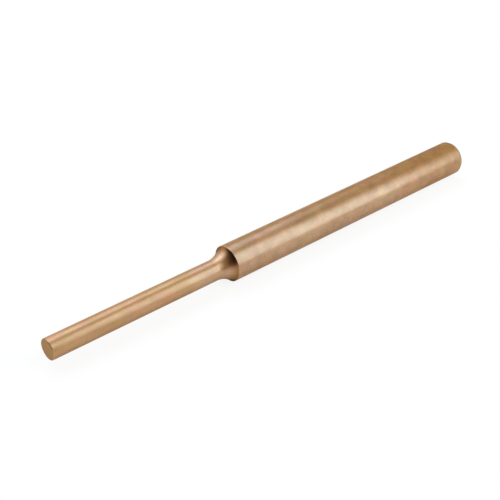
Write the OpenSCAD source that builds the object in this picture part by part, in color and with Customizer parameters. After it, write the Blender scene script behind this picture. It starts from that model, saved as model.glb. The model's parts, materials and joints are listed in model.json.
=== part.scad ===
// Pin punch: a plain round body, a hollow-radius neck and a long straight pin,
// turned in one piece from copper alloy bar.
//
// The punch lies along X on its body. The tip's face looks along -X, the
// striking face looks along +X, and the lowest line of the body is at Z = 0.
// The origin is on that line, halfway along the punch.
//
// The real punch has no seams. It is drawn as pin, neck and body, end to end,
// so that each of the three is a simple solid with its own clearance round it.

/* [Overall] */
// Length from the tip's face to the striking face
overall_length = 200; // [150:5:300]

/* [Body] */
// Diameter of the round body
body_d = 14; // [12:0.5:20]

/* [Pin] */
// Diameter of the pin
pin_d = 8; // [3:0.5:11]
// Length from the tip's face to the shoulder's rim, neck included
pin_reach = 77; // [40:1:110]
// Chamfer on the edge of the tip's face
tip_break = 0.15; // [0.1:0.05:1]

/* [Neck] */
// Radius of the hollow that blends the pin into the shoulder
neck_r = 9.5; // [3:0.5:20]

/* [Striking end] */
// Length of the striking end's chamfer along the body
head_chamfer_length = 1.1; // [0.5:0.1:3]
// Depth of the striking end's chamfer below the body's surface
head_chamfer_depth = 0.6; // [0.3:0.1:2]

/* [Drawing] */
// Number of straight sides that a full circle is drawn with
circle_sides = 128; // [48:8:256]

/* [Hidden] */
$fn = circle_sides;
body_r = body_d / 2;
pin_r = pin_d / 2;
// The hollow climbs from the pin to the body's surface by at most its own radius
neck_climb = min(neck_r, body_r - pin_r);
neck_length = sqrt(pow(neck_r, 2) - pow(neck_r - neck_climb, 2));
// Where the straight pin ends and the hollow starts, tangent to it
neck_start = pin_reach - neck_length;

// Turns half a section into a solid and lays it along X. In the section, x is
// the radius and y is the distance from the tip's face.
module turned() {
    translate([-overall_length / 2, 0, body_r])
        rotate([0, 90, 0])
            rotate_extrude()
                children();
}

// The straight pin, from the tip's face to the line where the hollow starts
module pin() {
    color("peru")
        turned()
            polygon([
                [0, 0],
                [pin_r - tip_break, 0],
                [pin_r, tip_break],
                [pin_r, neck_start],
                [0, neck_start]
            ]);
}

// The round-nosed tool's cut: its arc starts tangent to the pin and runs out
// through the body's surface at the rim. A smaller arc leaves a flat shoulder.
module neck_hollow() {
    translate([pin_r + neck_r, neck_start]) {
        circle(r = neck_r);
        square([body_r, neck_r]);
    }
}

// The neck: a short length of the bar with the hollow cut out of it
module neck() {
    color("peru")
        turned()
            difference() {
                translate([0, neck_start])
                    square([body_r, neck_length]);
                neck_hollow();
            }
}

// The body, from the shoulder's rim to the striking face
module body() {
    color("peru")
        turned()
            polygon([
                [0, pin_reach],
                [body_r, pin_reach],
                [body_r, overall_length - head_chamfer_length],
                [body_r - head_chamfer_depth, overall_length],
                [0, overall_length]
            ]);
}

pin();
neck();
body();
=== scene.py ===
# %% [markdown]
# # A pin punch turned from copper alloy bar
#
# A pin punch is about as plain as a tool gets: one solid bar with a thinner end. All that there is to
# look at is how truly it is turned and how its metal takes the light, so this lesson spends itself on
# those two things. The sizes come from the construction model, which is loaded first and never
# moved: the turned mesh made here is only a finer skin over it, in the same place and of the same size.

# %% Load the frame
import json
import math

import bmesh
import bpy
from mathutils import Matrix, Vector, noise


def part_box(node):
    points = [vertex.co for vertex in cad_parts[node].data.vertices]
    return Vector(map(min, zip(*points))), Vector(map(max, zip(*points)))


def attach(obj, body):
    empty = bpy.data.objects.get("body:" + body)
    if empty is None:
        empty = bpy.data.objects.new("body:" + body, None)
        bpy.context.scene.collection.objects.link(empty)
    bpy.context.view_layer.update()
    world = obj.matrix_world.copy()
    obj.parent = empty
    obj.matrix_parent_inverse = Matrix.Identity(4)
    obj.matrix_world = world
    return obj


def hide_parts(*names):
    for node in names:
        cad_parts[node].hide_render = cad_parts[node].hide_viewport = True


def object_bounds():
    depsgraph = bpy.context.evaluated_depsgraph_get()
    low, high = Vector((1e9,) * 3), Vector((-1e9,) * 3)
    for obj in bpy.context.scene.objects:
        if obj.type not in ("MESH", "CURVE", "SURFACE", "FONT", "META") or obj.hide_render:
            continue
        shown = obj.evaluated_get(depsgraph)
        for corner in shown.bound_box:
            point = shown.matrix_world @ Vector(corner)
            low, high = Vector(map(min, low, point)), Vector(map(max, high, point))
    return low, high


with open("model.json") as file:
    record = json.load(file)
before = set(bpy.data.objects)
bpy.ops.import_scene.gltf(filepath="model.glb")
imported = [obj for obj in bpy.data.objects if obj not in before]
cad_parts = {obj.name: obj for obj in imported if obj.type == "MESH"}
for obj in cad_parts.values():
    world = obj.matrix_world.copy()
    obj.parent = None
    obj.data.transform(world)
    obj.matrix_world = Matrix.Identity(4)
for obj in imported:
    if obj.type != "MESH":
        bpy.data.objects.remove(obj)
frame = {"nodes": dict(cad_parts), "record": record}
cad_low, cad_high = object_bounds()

MM = 0.001
print("nodes:", sorted(frame["nodes"]), "size in mm:", [round(v / MM, 2) for v in cad_high - cad_low])

# %% [markdown]
# ## Reading the sizes off the frame
#
# The frame holds the punch as three solids, end to end: pin, neck and body. Everything this
# script needs can be measured there. How far each solid reaches gives the lengths, and the
# rings of points at its ends give the radii. A size that is measured can't drift away from
# the construction, as one that is typed twice soon does.

# %% Measure pin, neck and body
AXIS_Z = (cad_low.z + cad_high.z) / 2
NEAR = 0.001 * MM


def ring_radius(node, x):
    """The largest distance from the punch's axis among a node's points at this x."""
    points = (v.co for v in frame["nodes"][node].data.vertices)
    return max(math.hypot(p.y, p.z - AXIS_Z) for p in points if abs(p.x - x) < NEAR)


def mount_length(name):
    """The length of a mount's round wall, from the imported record."""
    mount = next(m for m in frame["record"]["mounts"] if m["name"] == name)
    return mount["dims"]["length_mm"] * MM


tip_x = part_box("pin")[0].x
neck_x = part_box("neck")[0].x
rim_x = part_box("neck")[1].x
head_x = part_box("body")[1].x
pin_r = ring_radius("pin", neck_x)
body_r = ring_radius("body", rim_x)
head_chamfer_length = head_x - rim_x - mount_length("body_shank")
head_chamfer_depth = body_r - ring_radius("body", head_x)
neck_climb = body_r - pin_r
neck_length = rim_x - neck_x
# An arc tangent to the pin that climbs so far in so long a run has this radius
neck_r = (neck_length**2 + neck_climb**2) / (2 * neck_climb)
print("pin", round(2 * pin_r / MM, 2), "body", round(2 * body_r / MM, 2), "hollow", round(neck_r / MM, 2))
print("chamfer", round(head_chamfer_length / MM, 2), "by", round(head_chamfer_depth / MM, 2))

# %% [markdown]
# ## The camera
#
# The picture is taken with a long lens from above the pin's side, so the punch runs from the
# lower left, tip first, to the upper right, and the hollow of the neck looks at the lens. The
# camera is set up before anything else because it decides how much detail each part needs. A long
# lens keeps the far end of such a slim tool from shrinking much: from 0.4 m away, the striking
# end comes out an eighth narrower than the shoulder.

# %% Set up the camera
LENS_AT = Vector((-233.85, -260.79, 239.78)) * MM
LOOK_AZIMUTH = math.radians(40.376)
LOOK_DOWN = math.radians(34.069)
LENS_MM = 80
SENSOR_MM = 36

look = Vector((
    math.sin(LOOK_AZIMUTH) * math.cos(LOOK_DOWN),
    math.cos(LOOK_AZIMUTH) * math.cos(LOOK_DOWN),
    -math.sin(LOOK_DOWN),
))
camera = bpy.data.objects.new("camera", bpy.data.cameras.new("camera"))
camera.data.lens = LENS_MM
camera.data.sensor_width = SENSOR_MM
camera.data.clip_start = 10 * MM
camera.location = LENS_AT
camera.rotation_mode = "QUATERNION"
camera.rotation_quaternion = look.to_track_quat("-Z", "Y")
bpy.context.scene.collection.objects.link(camera)
bpy.context.scene.camera = camera
bpy.context.scene.view_settings.view_transform = "Standard"
print("camera", round((LENS_AT - Vector((0, 0, AXIS_Z))).length, 3), "m from the punch's middle")

# %% [markdown]
# ## The section that the lathe turns
#
# A turned part is one outline swept round an axis, so the outline is where the modelling
# happens. Here it is a list of (x, radius) points from the centre of the tip's face, out and
# along the punch, to the centre of the striking face.
#
# No real edge is perfectly sharp: even a crisp one is rounded by a tenth of a millimetre or
# so, and that small round is what catches the light as a bright line. Each corner of the
# outline is therefore replaced by a short arc that touches both of its neighbours.

# %% Arcs and straights of the outline
STRAIGHT_STEP = 0.6 * MM
EDGE_GUARD = 0.04 * MM


def straight(start, end):
    """Points from start to end, with one close to each end so that the shading stays flat between."""
    a, b = Vector(start), Vector(end)
    length = (b - a).length
    count = max(1, round(length / STRAIGHT_STEP))
    guard = min(EDGE_GUARD / length, 0.25 / count)
    shares = [0, guard] + [i / count for i in range(1, count)] + [1 - guard, 1]
    return [a.lerp(b, share) for share in shares]


def arc(centre, radius, start_angle, end_angle, count):
    """Points along an arc, both ends included. Angle 0 is along the punch, a quarter turn is outward."""
    angles = (start_angle + (end_angle - start_angle) * i / count for i in range(count + 1))
    return [Vector(centre) + radius * Vector((math.cos(a), math.sin(a))) for a in angles]


def rounded(before, corner, after, radius, count=6):
    """The arc of this radius that rounds off the corner between two straights."""
    back = (Vector(before) - Vector(corner)).normalized()
    on = (Vector(after) - Vector(corner)).normalized()
    half = back.angle(on) / 2
    reach = radius / math.tan(half)
    middle = Vector(corner) + (back + on).normalized() * radius / math.sin(half)
    first = Vector(corner) + back * reach - middle
    last = Vector(corner) + on * reach - middle
    start = math.atan2(first.y, first.x)
    return arc(middle, radius, start, start - first.angle_signed(last), count)


# %% [markdown]
# ## Tip, neck and striking end
#
# The outline has three places that need care. The tip is faced square, with its edge just
# rounded over. The neck is a hollow cut with a round-nosed tool: tangent to the pin, it climbs
# ever more steeply and runs out through the body's surface at the rim. The striking end has
# a small chamfer, so that hammer blows don't roll the edge over.
#
# The tool that faces an end leaves fine rings. They are real relief here, a few thousandths
# of a millimetre deep, and they are cut into the metal, so the punch never grows.

# %% Draw the outline
TIP_ROUND = 0.35 * MM
RIM_ROUND = 0.16 * MM
CHAMFER_ROUND = 0.4 * MM
HEAD_EDGE_ROUND = 0.2 * MM
NECK_POINTS = 48
FACING_FEED = 0.32 * MM
FACING_DEPTH = 0.004 * MM
FACING_STEPS = 4


def faced(centre, edge, into):
    """Points across a faced end from centre to edge. The rings are cut towards into, +1 or -1 along x."""
    a, b = Vector(centre), Vector(edge)
    count = round((b - a).length / FACING_FEED) * FACING_STEPS
    points = []
    for i in range(count + 1):
        depth = FACING_DEPTH * (1 - math.cos(math.tau * i / FACING_STEPS)) / 2
        points.append(a.lerp(b, i / count) + Vector((into * depth, 0)))
    return points


def tip_end():
    """From the centre of the tip's face round its edge."""
    edge = (tip_x, pin_r - TIP_ROUND)
    round_centre = (tip_x + TIP_ROUND, pin_r - TIP_ROUND)
    return faced((tip_x, 0), edge, 1) + arc(round_centre, TIP_ROUND, math.pi, math.pi / 2, count=7)[1:]


def neck():
    """The hollow's arc, tangent to the pin at its start, and the small round on the rim."""
    centre = (neck_x, pin_r + neck_r)
    leaves_at = math.asin(neck_length / neck_r)
    uphill = Vector((math.cos(leaves_at), math.sin(leaves_at)))
    rim = Vector((rim_x, body_r))
    edge = rounded(rim - uphill * MM, rim, rim + Vector((MM, 0)), RIM_ROUND)
    stops_at = leaves_at - (edge[0] - rim).length / neck_r
    start = -math.pi / 2
    return arc(centre, neck_r, start, start + stops_at, NECK_POINTS)[:-1] + edge


def striking_end():
    """The chamfer with both of its edges eased, and the striking face."""
    shoulder = (head_x - head_chamfer_length, body_r)
    edge = (head_x, body_r - head_chamfer_depth)
    centre = (head_x, 0)
    eased = rounded((rim_x, body_r), shoulder, edge, CHAMFER_ROUND, count=5)
    edge_round = rounded(shoulder, edge, centre, HEAD_EDGE_ROUND, count=7)
    return eased + edge_round + faced(centre, edge_round[-1], -1)[::-1][1:]


front, hollow, back = tip_end(), neck(), striking_end()
outline = front + straight(front[-1], hollow[0])[1:-1] + hollow + straight(hollow[-1], back[0])[1:-1] + back
print(len(outline), "points in the outline")

# %% [markdown]
# ## Turning the outline
#
# Blender's spin operator is a lathe: it sweeps the outline round an axis and joins the last
# copy to the first. The mesh keeps its own axis along local Z, and the object is laid over
# on to X afterwards. That isn't needed for the shape, but it pays in the finish: the shader's
# grain runs round local Z by itself, which is just how the cutting tool ran.

# %% Turn the punch
SIDES = 160
WELD = 0.0001 * MM

turning = bmesh.new()
line = [turning.verts.new((p.y, 0, p.x)) for p in outline]
edges = [turning.edges.new(pair) for pair in zip(line, line[1:])]
bmesh.ops.spin(
    turning, geom=line + edges, axis=(0, 0, 1), cent=(0, 0, 0), angle=math.tau, steps=SIDES, use_merge=True
)
bmesh.ops.remove_doubles(turning, verts=turning.verts, dist=WELD)
bmesh.ops.recalc_face_normals(turning, faces=turning.faces)
print("turned", len(turning.faces), "faces,", sum(not e.is_manifold for e in turning.edges), "open edges")

# %% [markdown]
# ## What a real bar has and a perfect one hasn't
#
# A mathematically straight cylinder looks like plastic, because its reflections are
# ruler-straight. A real bar wanders by a few thousandths of a millimetre, and it has been
# through a few hands and boxes by the time it is photographed. So the mesh gets a faint
# waviness and a few shallow dents. Both only ever move points towards the axis.

# %% Add waviness and dents
WAVE_LENGTH = 9 * MM
WAVE_DEPTH = 0.006 * MM
# Each dent: share of the punch's length, quarter turns round from the top, width and depth
DENTS = [
    (0.16, 3.1, 0.9 * MM, 0.020 * MM),
    (0.29, 0.4, 1.1 * MM, 0.016 * MM),
    (0.47, 3.3, 1.4 * MM, 0.026 * MM),
    (0.58, 0.1, 1.2 * MM, 0.022 * MM),
    (0.71, 3.6, 1.6 * MM, 0.030 * MM),
    (0.83, 2.7, 1.3 * MM, 0.024 * MM),
    (0.94, 0.2, 1.5 * MM, 0.028 * MM),
]


def dent_depth(place):
    """How far the dents move a point inward. The top is local -X, because the punch is laid over later."""
    depth = 0
    for share, quarters, width, deepest in DENTS:
        along = tip_x + share * (head_x - tip_x)
        turn = quarters * math.pi / 2
        r = math.hypot(place.x, place.y)
        centre = Vector((-r * math.cos(turn), r * math.sin(turn), along))
        depth += deepest * math.exp(-(2 * (place - centre).length / width) ** 2)
    return depth


deepest_move = 0
for vert in turning.verts:
    r = math.hypot(vert.co.x, vert.co.y)
    if r > pin_r - TIP_ROUND:
        wave = (1 + noise.noise(vert.co / WAVE_LENGTH)) / 2 * WAVE_DEPTH
        move = wave + dent_depth(vert.co)
        deepest_move = max(deepest_move, move)
        vert.co.x *= 1 - move / r
        vert.co.y *= 1 - move / r

mesh = bpy.data.meshes.new("punch")
turning.to_mesh(mesh)
turning.free()
mesh.shade_smooth()
punch = bpy.data.objects.new("punch", mesh)
bpy.context.scene.collection.objects.link(punch)
punch.matrix_world = Matrix.Translation((0, 0, AXIS_Z)) @ Matrix.Rotation(math.pi / 2, 4, "Y")
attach(punch, "root")
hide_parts("pin", "neck", "body")
print("moved points inward by up to", round(deepest_move / MM, 3), "mm")

# %% [markdown]
# ## Writing shaders as formulas
#
# A finish is a recipe of masks, and a mask is arithmetic. Blender draws arithmetic as a web of small
# Math nodes that is hard to read back, so this lesson writes it as Python instead. A
# Wire wraps one socket: adding or multiplying wires adds the matching node. Every
# other kind of node comes from one method, which takes the node's settings and its sockets.

# %% A socket that does arithmetic
class Wire:
    """One output socket of a shader tree. Arithmetic on it adds Math nodes."""

    def __init__(self, tree, socket=None):
        self.tree = tree
        self.socket = socket

    def node(self, kind, settings=None, sockets=None, out=0):
        """Adds a node: its settings, then its sockets' values or links. Returns the outputs in out."""
        made = self.tree.nodes.new(kind)
        for name, value in (settings or {}).items():
            setattr(made, name, value)
        for key, value in (sockets or {}).items():
            if isinstance(value, Wire):
                self.tree.links.new(value.socket, made.inputs[key])
            else:
                made.inputs[key].default_value = value
        if isinstance(out, tuple):
            return [Wire(self.tree, made.outputs[name]) for name in out]
        return Wire(self.tree, made.outputs[out]) if made.outputs else None

    def math(self, operation, *values):
        return self.node("ShaderNodeMath", {"operation": operation}, dict(enumerate(values)))

    def __add__(self, other):
        return self.math("ADD", self, other)

    def __sub__(self, other):
        return self.math("SUBTRACT", self, other)

    def __rsub__(self, other):
        return self.math("SUBTRACT", other, self)

    def __mul__(self, other):
        return self.math("MULTIPLY", self, other)

    def __truediv__(self, other):
        return self.math("DIVIDE", self, other)

    def __pow__(self, power):
        return self.math("POWER", self, power)

    def __abs__(self):
        return self.math("ABSOLUTE", self)

    __radd__ = __add__


def new_material(name):
    """An empty material, and the wire that its nodes are made from."""
    material = bpy.data.materials.new(name)
    material.use_nodes = True
    material.node_tree.nodes.clear()
    return material, Wire(material.node_tree)


def ramp(value, low, high):
    """0 below low and 1 above high, with a smooth climb between. High may be the smaller one."""
    sockets = {"Value": value, "From Min": low, "From Max": high}
    return value.node("ShaderNodeMapRange", {"interpolation_type": "SMOOTHSTEP"}, sockets)


def blend(factor, a, b):
    """Colour a where factor is 0, colour b where it is 1. A Mix node takes them at sockets 6 and 7."""
    return factor.node("ShaderNodeMix", {"data_type": "RGBA"}, {0: factor, 6: a, 7: b}, out=2)


def speckle(vector, scale, detail, roughness=0.5):
    """Soft noise, mostly between 0.3 and 0.7. The scale is in cells to the unit of the vector."""
    sockets = {"Vector": vector, "Scale": scale, "Detail": detail, "Roughness": roughness}
    return vector.node("ShaderNodeTexNoise", sockets=sockets)


# %% [markdown]
# ## Where on the punch is this point?
#
# A finish on a turned part follows the tool, so it is written in the lathe's own terms: how far along
# the bar, how far out from the axis, and the way that the cutting edge has come. That
# last one grows along the cylinders and outward across the faces, so one pattern in it makes
# rings everywhere: round the bar, up the hollow and across both ends.

# %% Coordinates of a turned surface
bronze, shade = new_material("turned_bronze")
place = shade.node("ShaderNodeTexCoord", out="Object")
side_a, side_b, along = shade.node("ShaderNodeSeparateXYZ", sockets={0: place}, out=("X", "Y", "Z"))
radius = (side_a * side_a + side_b * side_b) ** 0.5
feed = along + radius


def turned_pattern(rings_per_mm, turns):
    """A vector that changes fast across the tool's rings and slowly round them."""
    sockets = {0: feed * (rings_per_mm / MM), 1: side_a / radius * turns, 2: side_b / radius * turns}
    return shade.node("ShaderNodeCombineXYZ", sockets=sockets)


fine_rings = speckle(turned_pattern(4.0, 1.5), 1.0, detail=2.0)
coarse_rings = speckle(turned_pattern(0.9, 0.8), 1.0, detail=2.0)
patches = speckle(place, 180.0, detail=3.0, roughness=0.6)
clouds = speckle(place, 240.0, detail=4.0, roughness=0.6)
flecks = speckle(place, 1200.0, detail=2.0, roughness=0.6)
smudges = speckle(turned_pattern(0.12, 1.6), 1.0, detail=3.0)
print("patterns use", len(shade.tree.nodes), "nodes")

# %% [markdown]
# ## The colour of the alloy
#
# Copper with a little aluminium or beryllium is a pinkish tan, and no bar of it is one even
# colour. The crystals and the handling leave patches that lean to pink or to gold, with a
# duller tone over parts of them, least on the pin. The hollow of the neck, which no polishing
# wheel reaches, keeps a browner skin. The same dark brown is also laid on there as painted
# shade, deepest towards the rim. Edges that rub against other tools stay bright.
#
# Each tone gets a mask, and the masks come from the sizes measured above. They could be painted
# on an image instead, but a formula stays sharp at any distance and moves with the sizes.

# %% Mix the alloy's colour
PINK_ALLOY = (0.565, 0.256, 0.092, 1)
GOLD_ALLOY = (0.503, 0.280, 0.062, 1)
DULL_ALLOY = (0.330, 0.158, 0.042, 1)
# The hollow's browner skin, made dark enough to serve there as painted shade too
BROWN_SKIN_AND_SHADE = (0.270, 0.106, 0.037, 1)
BRIGHT_EDGE = (0.66, 0.44, 0.29, 1)
# The largest share of a tone that shows anywhere
DULL_SHARE = 0.5
HOLLOW_SHADE_SHARE = 0.85
RUBBED_SHARE = 0.5
# How much the edges of the two ends are rubbed, where the rim counts as 1
END_RUB = 0.4
EDGE_REACH = 0.35 * MM
PIN_FADE = 2 * MM

before_rim = ramp(along, rim_x + RIM_ROUND, rim_x)
in_hollow = ramp(along, neck_x + 0.5 * neck_length, rim_x) * before_rim
on_neck = ramp(along, neck_x - PIN_FADE, neck_x + 0.3 * neck_length) * before_rim
on_pin = ramp(along, neck_x + 0.4 * neck_length, neck_x - PIN_FADE)
# The middle of the punch, where a hand holds it, against its two ends
held_from_pin = ramp(along, neck_x - 16 * MM, neck_x - 6 * MM)
held_to_head = ramp(along, head_x - 15 * MM, head_x - 50 * MM)
held = held_from_pin * held_to_head
on_faces = ramp(along, tip_x + TIP_ROUND, tip_x) + ramp(along, head_x - EDGE_REACH, head_x)
rim_edge = ramp(abs(along - (rim_x + RIM_ROUND / 2)), EDGE_REACH, 0)
head_edge = ramp(abs(along - (head_x - head_chamfer_length)), 2 * EDGE_REACH, 0)
tip_edge = ramp(along, tip_x + 2 * EDGE_REACH, tip_x) * ramp(radius, pin_r - EDGE_REACH, pin_r)
rubbed = (rim_edge + (head_edge + tip_edge) * END_RUB) * ramp(patches, 0.3, 0.6) * RUBBED_SHARE

# Flecks on the bar give way to the facing tool's rings on the two ends
marks = flecks + on_faces * (coarse_rings - flecks)
colour = blend(ramp(patches * 0.6 + marks * 0.4, 0.36, 0.64), PINK_ALLOY, GOLD_ALLOY)
dulled = ramp(clouds * 0.7 + marks * 0.3, 0.38, 0.62) * (DULL_SHARE - on_pin * 0.3 - on_faces * 0.2)
colour = blend(dulled, colour, DULL_ALLOY)
# The hollow turns dark brown towards the rim: a browner skin, and painted shade of the hollow
colour = blend(in_hollow * HOLLOW_SHADE_SHARE, colour, BROWN_SKIN_AND_SHADE)
colour = blend(rubbed, colour, BRIGHT_EDGE)
print("colour mixed from 5 tones")

# %% [markdown]
# ## Satin metal under a thin film
#
# The tool's grooves are far finer than a pixel, so most of them are left to the shader as
# roughness: broad and soft along the bar, and a little tighter in the hollow and on the ends.
# Only the coarser rings are drawn, as bump of a thousandth or two of a millimetre. At glancing
# angles the grooves shade each other, so the metal's tint there is set low.
#
# Handling and polishing smooth the tops of the grooves into a thin bright film over the metal.
# The coat of Blender's Principled shader stands for it. It mirrors more sharply than the metal
# does and adds no colour, so it keeps the highlights pale while the metal between them stays
# warm. Its IOR is set far above an oil's to make it mirror more, and it thins out at the ends
# and in the hollow, where no hand reaches.

# %% Build the finish
RING_HEIGHT = 0.0016 * MM
BAR_ROUGHNESS = 0.69
RING_SCATTER = 0.15
SMUDGE_SCATTER = 0.16
# How much less rough than the bar these places are
SMOOTHER_PIN = 0.05
SMOOTHER_NECK = 0.12
SMOOTHER_HOLLOW = 0.26
SMOOTHER_FACES = 0.1
FILM_WEIGHT = 0.46
# The film's share at the punch's ends, where the held part counts as 1
FILM_AT_ENDS = 0.72
FILM_ROUGHNESS = 0.32
FILM_IOR = 3.2
GLANCING_TINT = (0.15, 0.18, 0.18, 1)

relief = (fine_rings * 0.6 + coarse_rings * 1.4 * (1 + on_faces * 2) + flecks * 0.4) * RING_HEIGHT
bump = shade.node("ShaderNodeBump", sockets={"Strength": 1.0, "Distance": 1.0, "Height": relief})
grooves = BAR_ROUGHNESS + (fine_rings - 0.5) * RING_SCATTER + (smudges - 0.5) * SMUDGE_SCATTER
grooves = grooves - on_pin * SMOOTHER_PIN - on_neck * SMOOTHER_NECK
grooves = grooves - in_hollow * SMOOTHER_HOLLOW - on_faces * SMOOTHER_FACES
film = FILM_WEIGHT - (clouds - 0.5) * 0.1 - (smudges - 0.5) * 0.32
film = film * (FILM_AT_ENDS + held * (1 - FILM_AT_ENDS)) * (1 - in_hollow * 0.85 - on_faces * 0.3)
finish = shade.node("ShaderNodeBsdfPrincipled", sockets={
    "Base Color": colour,
    "Metallic": 1.0,
    "Roughness": grooves,
    "Specular Tint": GLANCING_TINT,
    "Coat Weight": film,
    "Coat Roughness": FILM_ROUGHNESS,
    "Coat IOR": FILM_IOR,
    "Normal": bump,
})
shade.node("ShaderNodeOutputMaterial", sockets={"Surface": finish})
mesh.materials.append(bronze)
print("bronze has", len(shade.tree.nodes), "nodes")

# %% [markdown]
# ## Floor and background
#
# The punch lies on white paper that runs out of sight. Paper that is only lit comes out pale
# grey next to a true white, so part of its brightness is given to it outright, for the rays
# that look at it. The camera gets most of its white that way. The metal that mirrors the paper
# gets less, so what it mirrors depends more on the lamps. Rays that carry light from the paper
# to the punch see it as plain paper, and the part that is still lit keeps the punch's shadow.

# %% Lay the paper
FLOOR_HALF = 4.0
PAPER_WHITE = (0.9, 0.9, 0.9, 1)
PAPER_LIFT = 0.88
MIRROR_LIFT = 0.3
AMBIENT = 0.55


def who_looks(shader):
    """Two masks: 1 for the camera's own rays, and 1 for rays mirrored by metal or passed on by glass."""
    camera_ray, glossy_ray, through_ray = shader.node(
        "ShaderNodeLightPath", out=("Is Camera Ray", "Is Glossy Ray", "Is Transmission Ray")
    )
    return camera_ray, shader.math("MAXIMUM", glossy_ray, through_ray)


paper, sheet = new_material("white_paper")
by_camera, by_mirror = who_looks(sheet)
lift = sheet.math("MAXIMUM", by_camera * PAPER_LIFT, by_mirror * MIRROR_LIFT)
lit = sheet.node("ShaderNodeBsdfDiffuse", sockets={"Color": PAPER_WHITE})
own = sheet.node("ShaderNodeEmission", sockets={"Color": (1, 1, 1, 1), "Strength": 1.0})
surface = sheet.node("ShaderNodeMixShader", sockets={0: lift, 1: lit, 2: own})
sheet.node("ShaderNodeOutputMaterial", sockets={"Surface": surface})

laying = bmesh.new()
bmesh.ops.create_grid(laying, x_segments=1, y_segments=1, size=FLOOR_HALF)
floor_mesh = bpy.data.meshes.new("floor")
laying.to_mesh(floor_mesh)
laying.free()
floor_mesh.materials.append(paper)
floor = bpy.data.objects.new("floor", floor_mesh)
bpy.context.scene.collection.objects.link(floor)

world = bpy.data.worlds.new("studio")
world.use_nodes = True
world.node_tree.nodes.clear()
air = Wire(world.node_tree)
seen = air.math("MAXIMUM", *who_looks(air))
glow = AMBIENT + seen * (1 - AMBIENT)
sky = air.node("ShaderNodeBackground", sockets={"Color": (1, 1, 1, 1), "Strength": glow})
air.node("ShaderNodeOutputWorld", sockets={"Surface": sky})
bpy.context.scene.world = world
print("paper", 2 * FLOOR_HALF, "m wide, ambient light", AMBIENT)

# %% [markdown]
# ## Lamps and curtains
#
# Shiny metal shows the room more than itself, so a product picture is lit by deciding what
# each part of the metal will mirror. Two softboxes give the pale bands: one to the camera's
# right for the middle of the bar, and one beyond the punch for the band near its upper edge.
# The first one's light leans a little to yellow-green, as the tubes of many softboxes do, and
# the second one's to blue, as daylight does.
#
# A grey curtain behind the front softbox keeps the stretch between the two bands darker. A
# curtain of a maroon near to black, behind the camera and on its left, puts the deep shade into
# the hollow of the neck. Both hang far outside the picture, and they are made so that only
# mirrored rays meet them. The paper is then lit evenly, as if they weren't there.

# %% Hang the lamps and curtains
GREENISH = (1.0, 1.045, 0.975)
COOL = (0.97, 1.08, 1.18)
GREY_CLOTH = (0.23, 0.23, 0.23, 1)
MAROON_CLOTH = (0.05, 0.02, 0.02, 1)
# Degrees from one fold of a curtain to the next
CURTAIN_STEP = 2


def direction(azimuth, elevation):
    """The way from the punch to something in the studio. Azimuth 0 is +Y and 90 is +X, in degrees."""
    turn, rise = math.radians(azimuth), math.radians(elevation)
    return Vector((math.sin(turn) * math.cos(rise), math.cos(turn) * math.cos(rise), math.sin(rise)))


def softbox(name, azimuth, elevation, distance, width, height, radiance, tint):
    """A rectangular lamp that faces the punch. In a mirror it is this bright, where white is 1."""
    lamp = bpy.data.lights.new(name, "AREA")
    lamp.shape = "RECTANGLE"
    lamp.size = width
    lamp.size_y = height
    # Blender spreads a lamp's watts so that a quarter of watts per area is what a mirror shows
    lamp.energy = 4 * radiance * width * height
    lamp.color = tint
    away = direction(azimuth, elevation)
    hung = bpy.data.objects.new(name, lamp)
    hung.location = away * distance
    hung.rotation_mode = "QUATERNION"
    hung.rotation_quaternion = (-away).to_track_quat("-Z", "Y")
    hung.visible_camera = False
    bpy.context.scene.collection.objects.link(hung)


def curtain(name, first_azimuth, last_azimuth, top, distance, dye):
    """A matt curtain round part of the studio. Only mirrored rays meet it, so it shades nothing."""
    material, pigment = new_material(name)
    matt = pigment.node("ShaderNodeBsdfDiffuse", sockets={"Color": dye})
    pigment.node("ShaderNodeOutputMaterial", sockets={"Surface": matt})
    sewing = bmesh.new()
    rows = []
    for rise in range(0, top + 1, CURTAIN_STEP):
        azimuths = range(first_azimuth, last_azimuth + 1, CURTAIN_STEP)
        rows.append([sewing.verts.new(direction(azimuth, rise) * distance) for azimuth in azimuths])
    for lower, upper in zip(rows, rows[1:]):
        for i in range(len(lower) - 1):
            sewing.faces.new((lower[i], lower[i + 1], upper[i + 1], upper[i]))
    cloth = bpy.data.meshes.new(name)
    sewing.to_mesh(cloth)
    sewing.free()
    cloth.materials.append(material)
    hung = bpy.data.objects.new(name, cloth)
    bpy.context.scene.collection.objects.link(hung)
    hung.visible_camera = False
    hung.visible_diffuse = False
    hung.visible_shadow = False


softbox(
    "front_softbox", azimuth=141, elevation=34.7, distance=1.5,
    width=0.85, height=1.7, radiance=2.56, tint=GREENISH,
)
softbox(
    "back_softbox", azimuth=10, elevation=58, distance=0.75,
    width=0.79, height=0.5, radiance=1.9, tint=COOL,
)
curtain("grey_curtain", first_azimuth=29, last_azimuth=175, top=74, distance=1.9, dye=GREY_CLOTH)
curtain("maroon_curtain", first_azimuth=175, last_azimuth=323, top=84, distance=1.9, dye=MAROON_CLOTH)
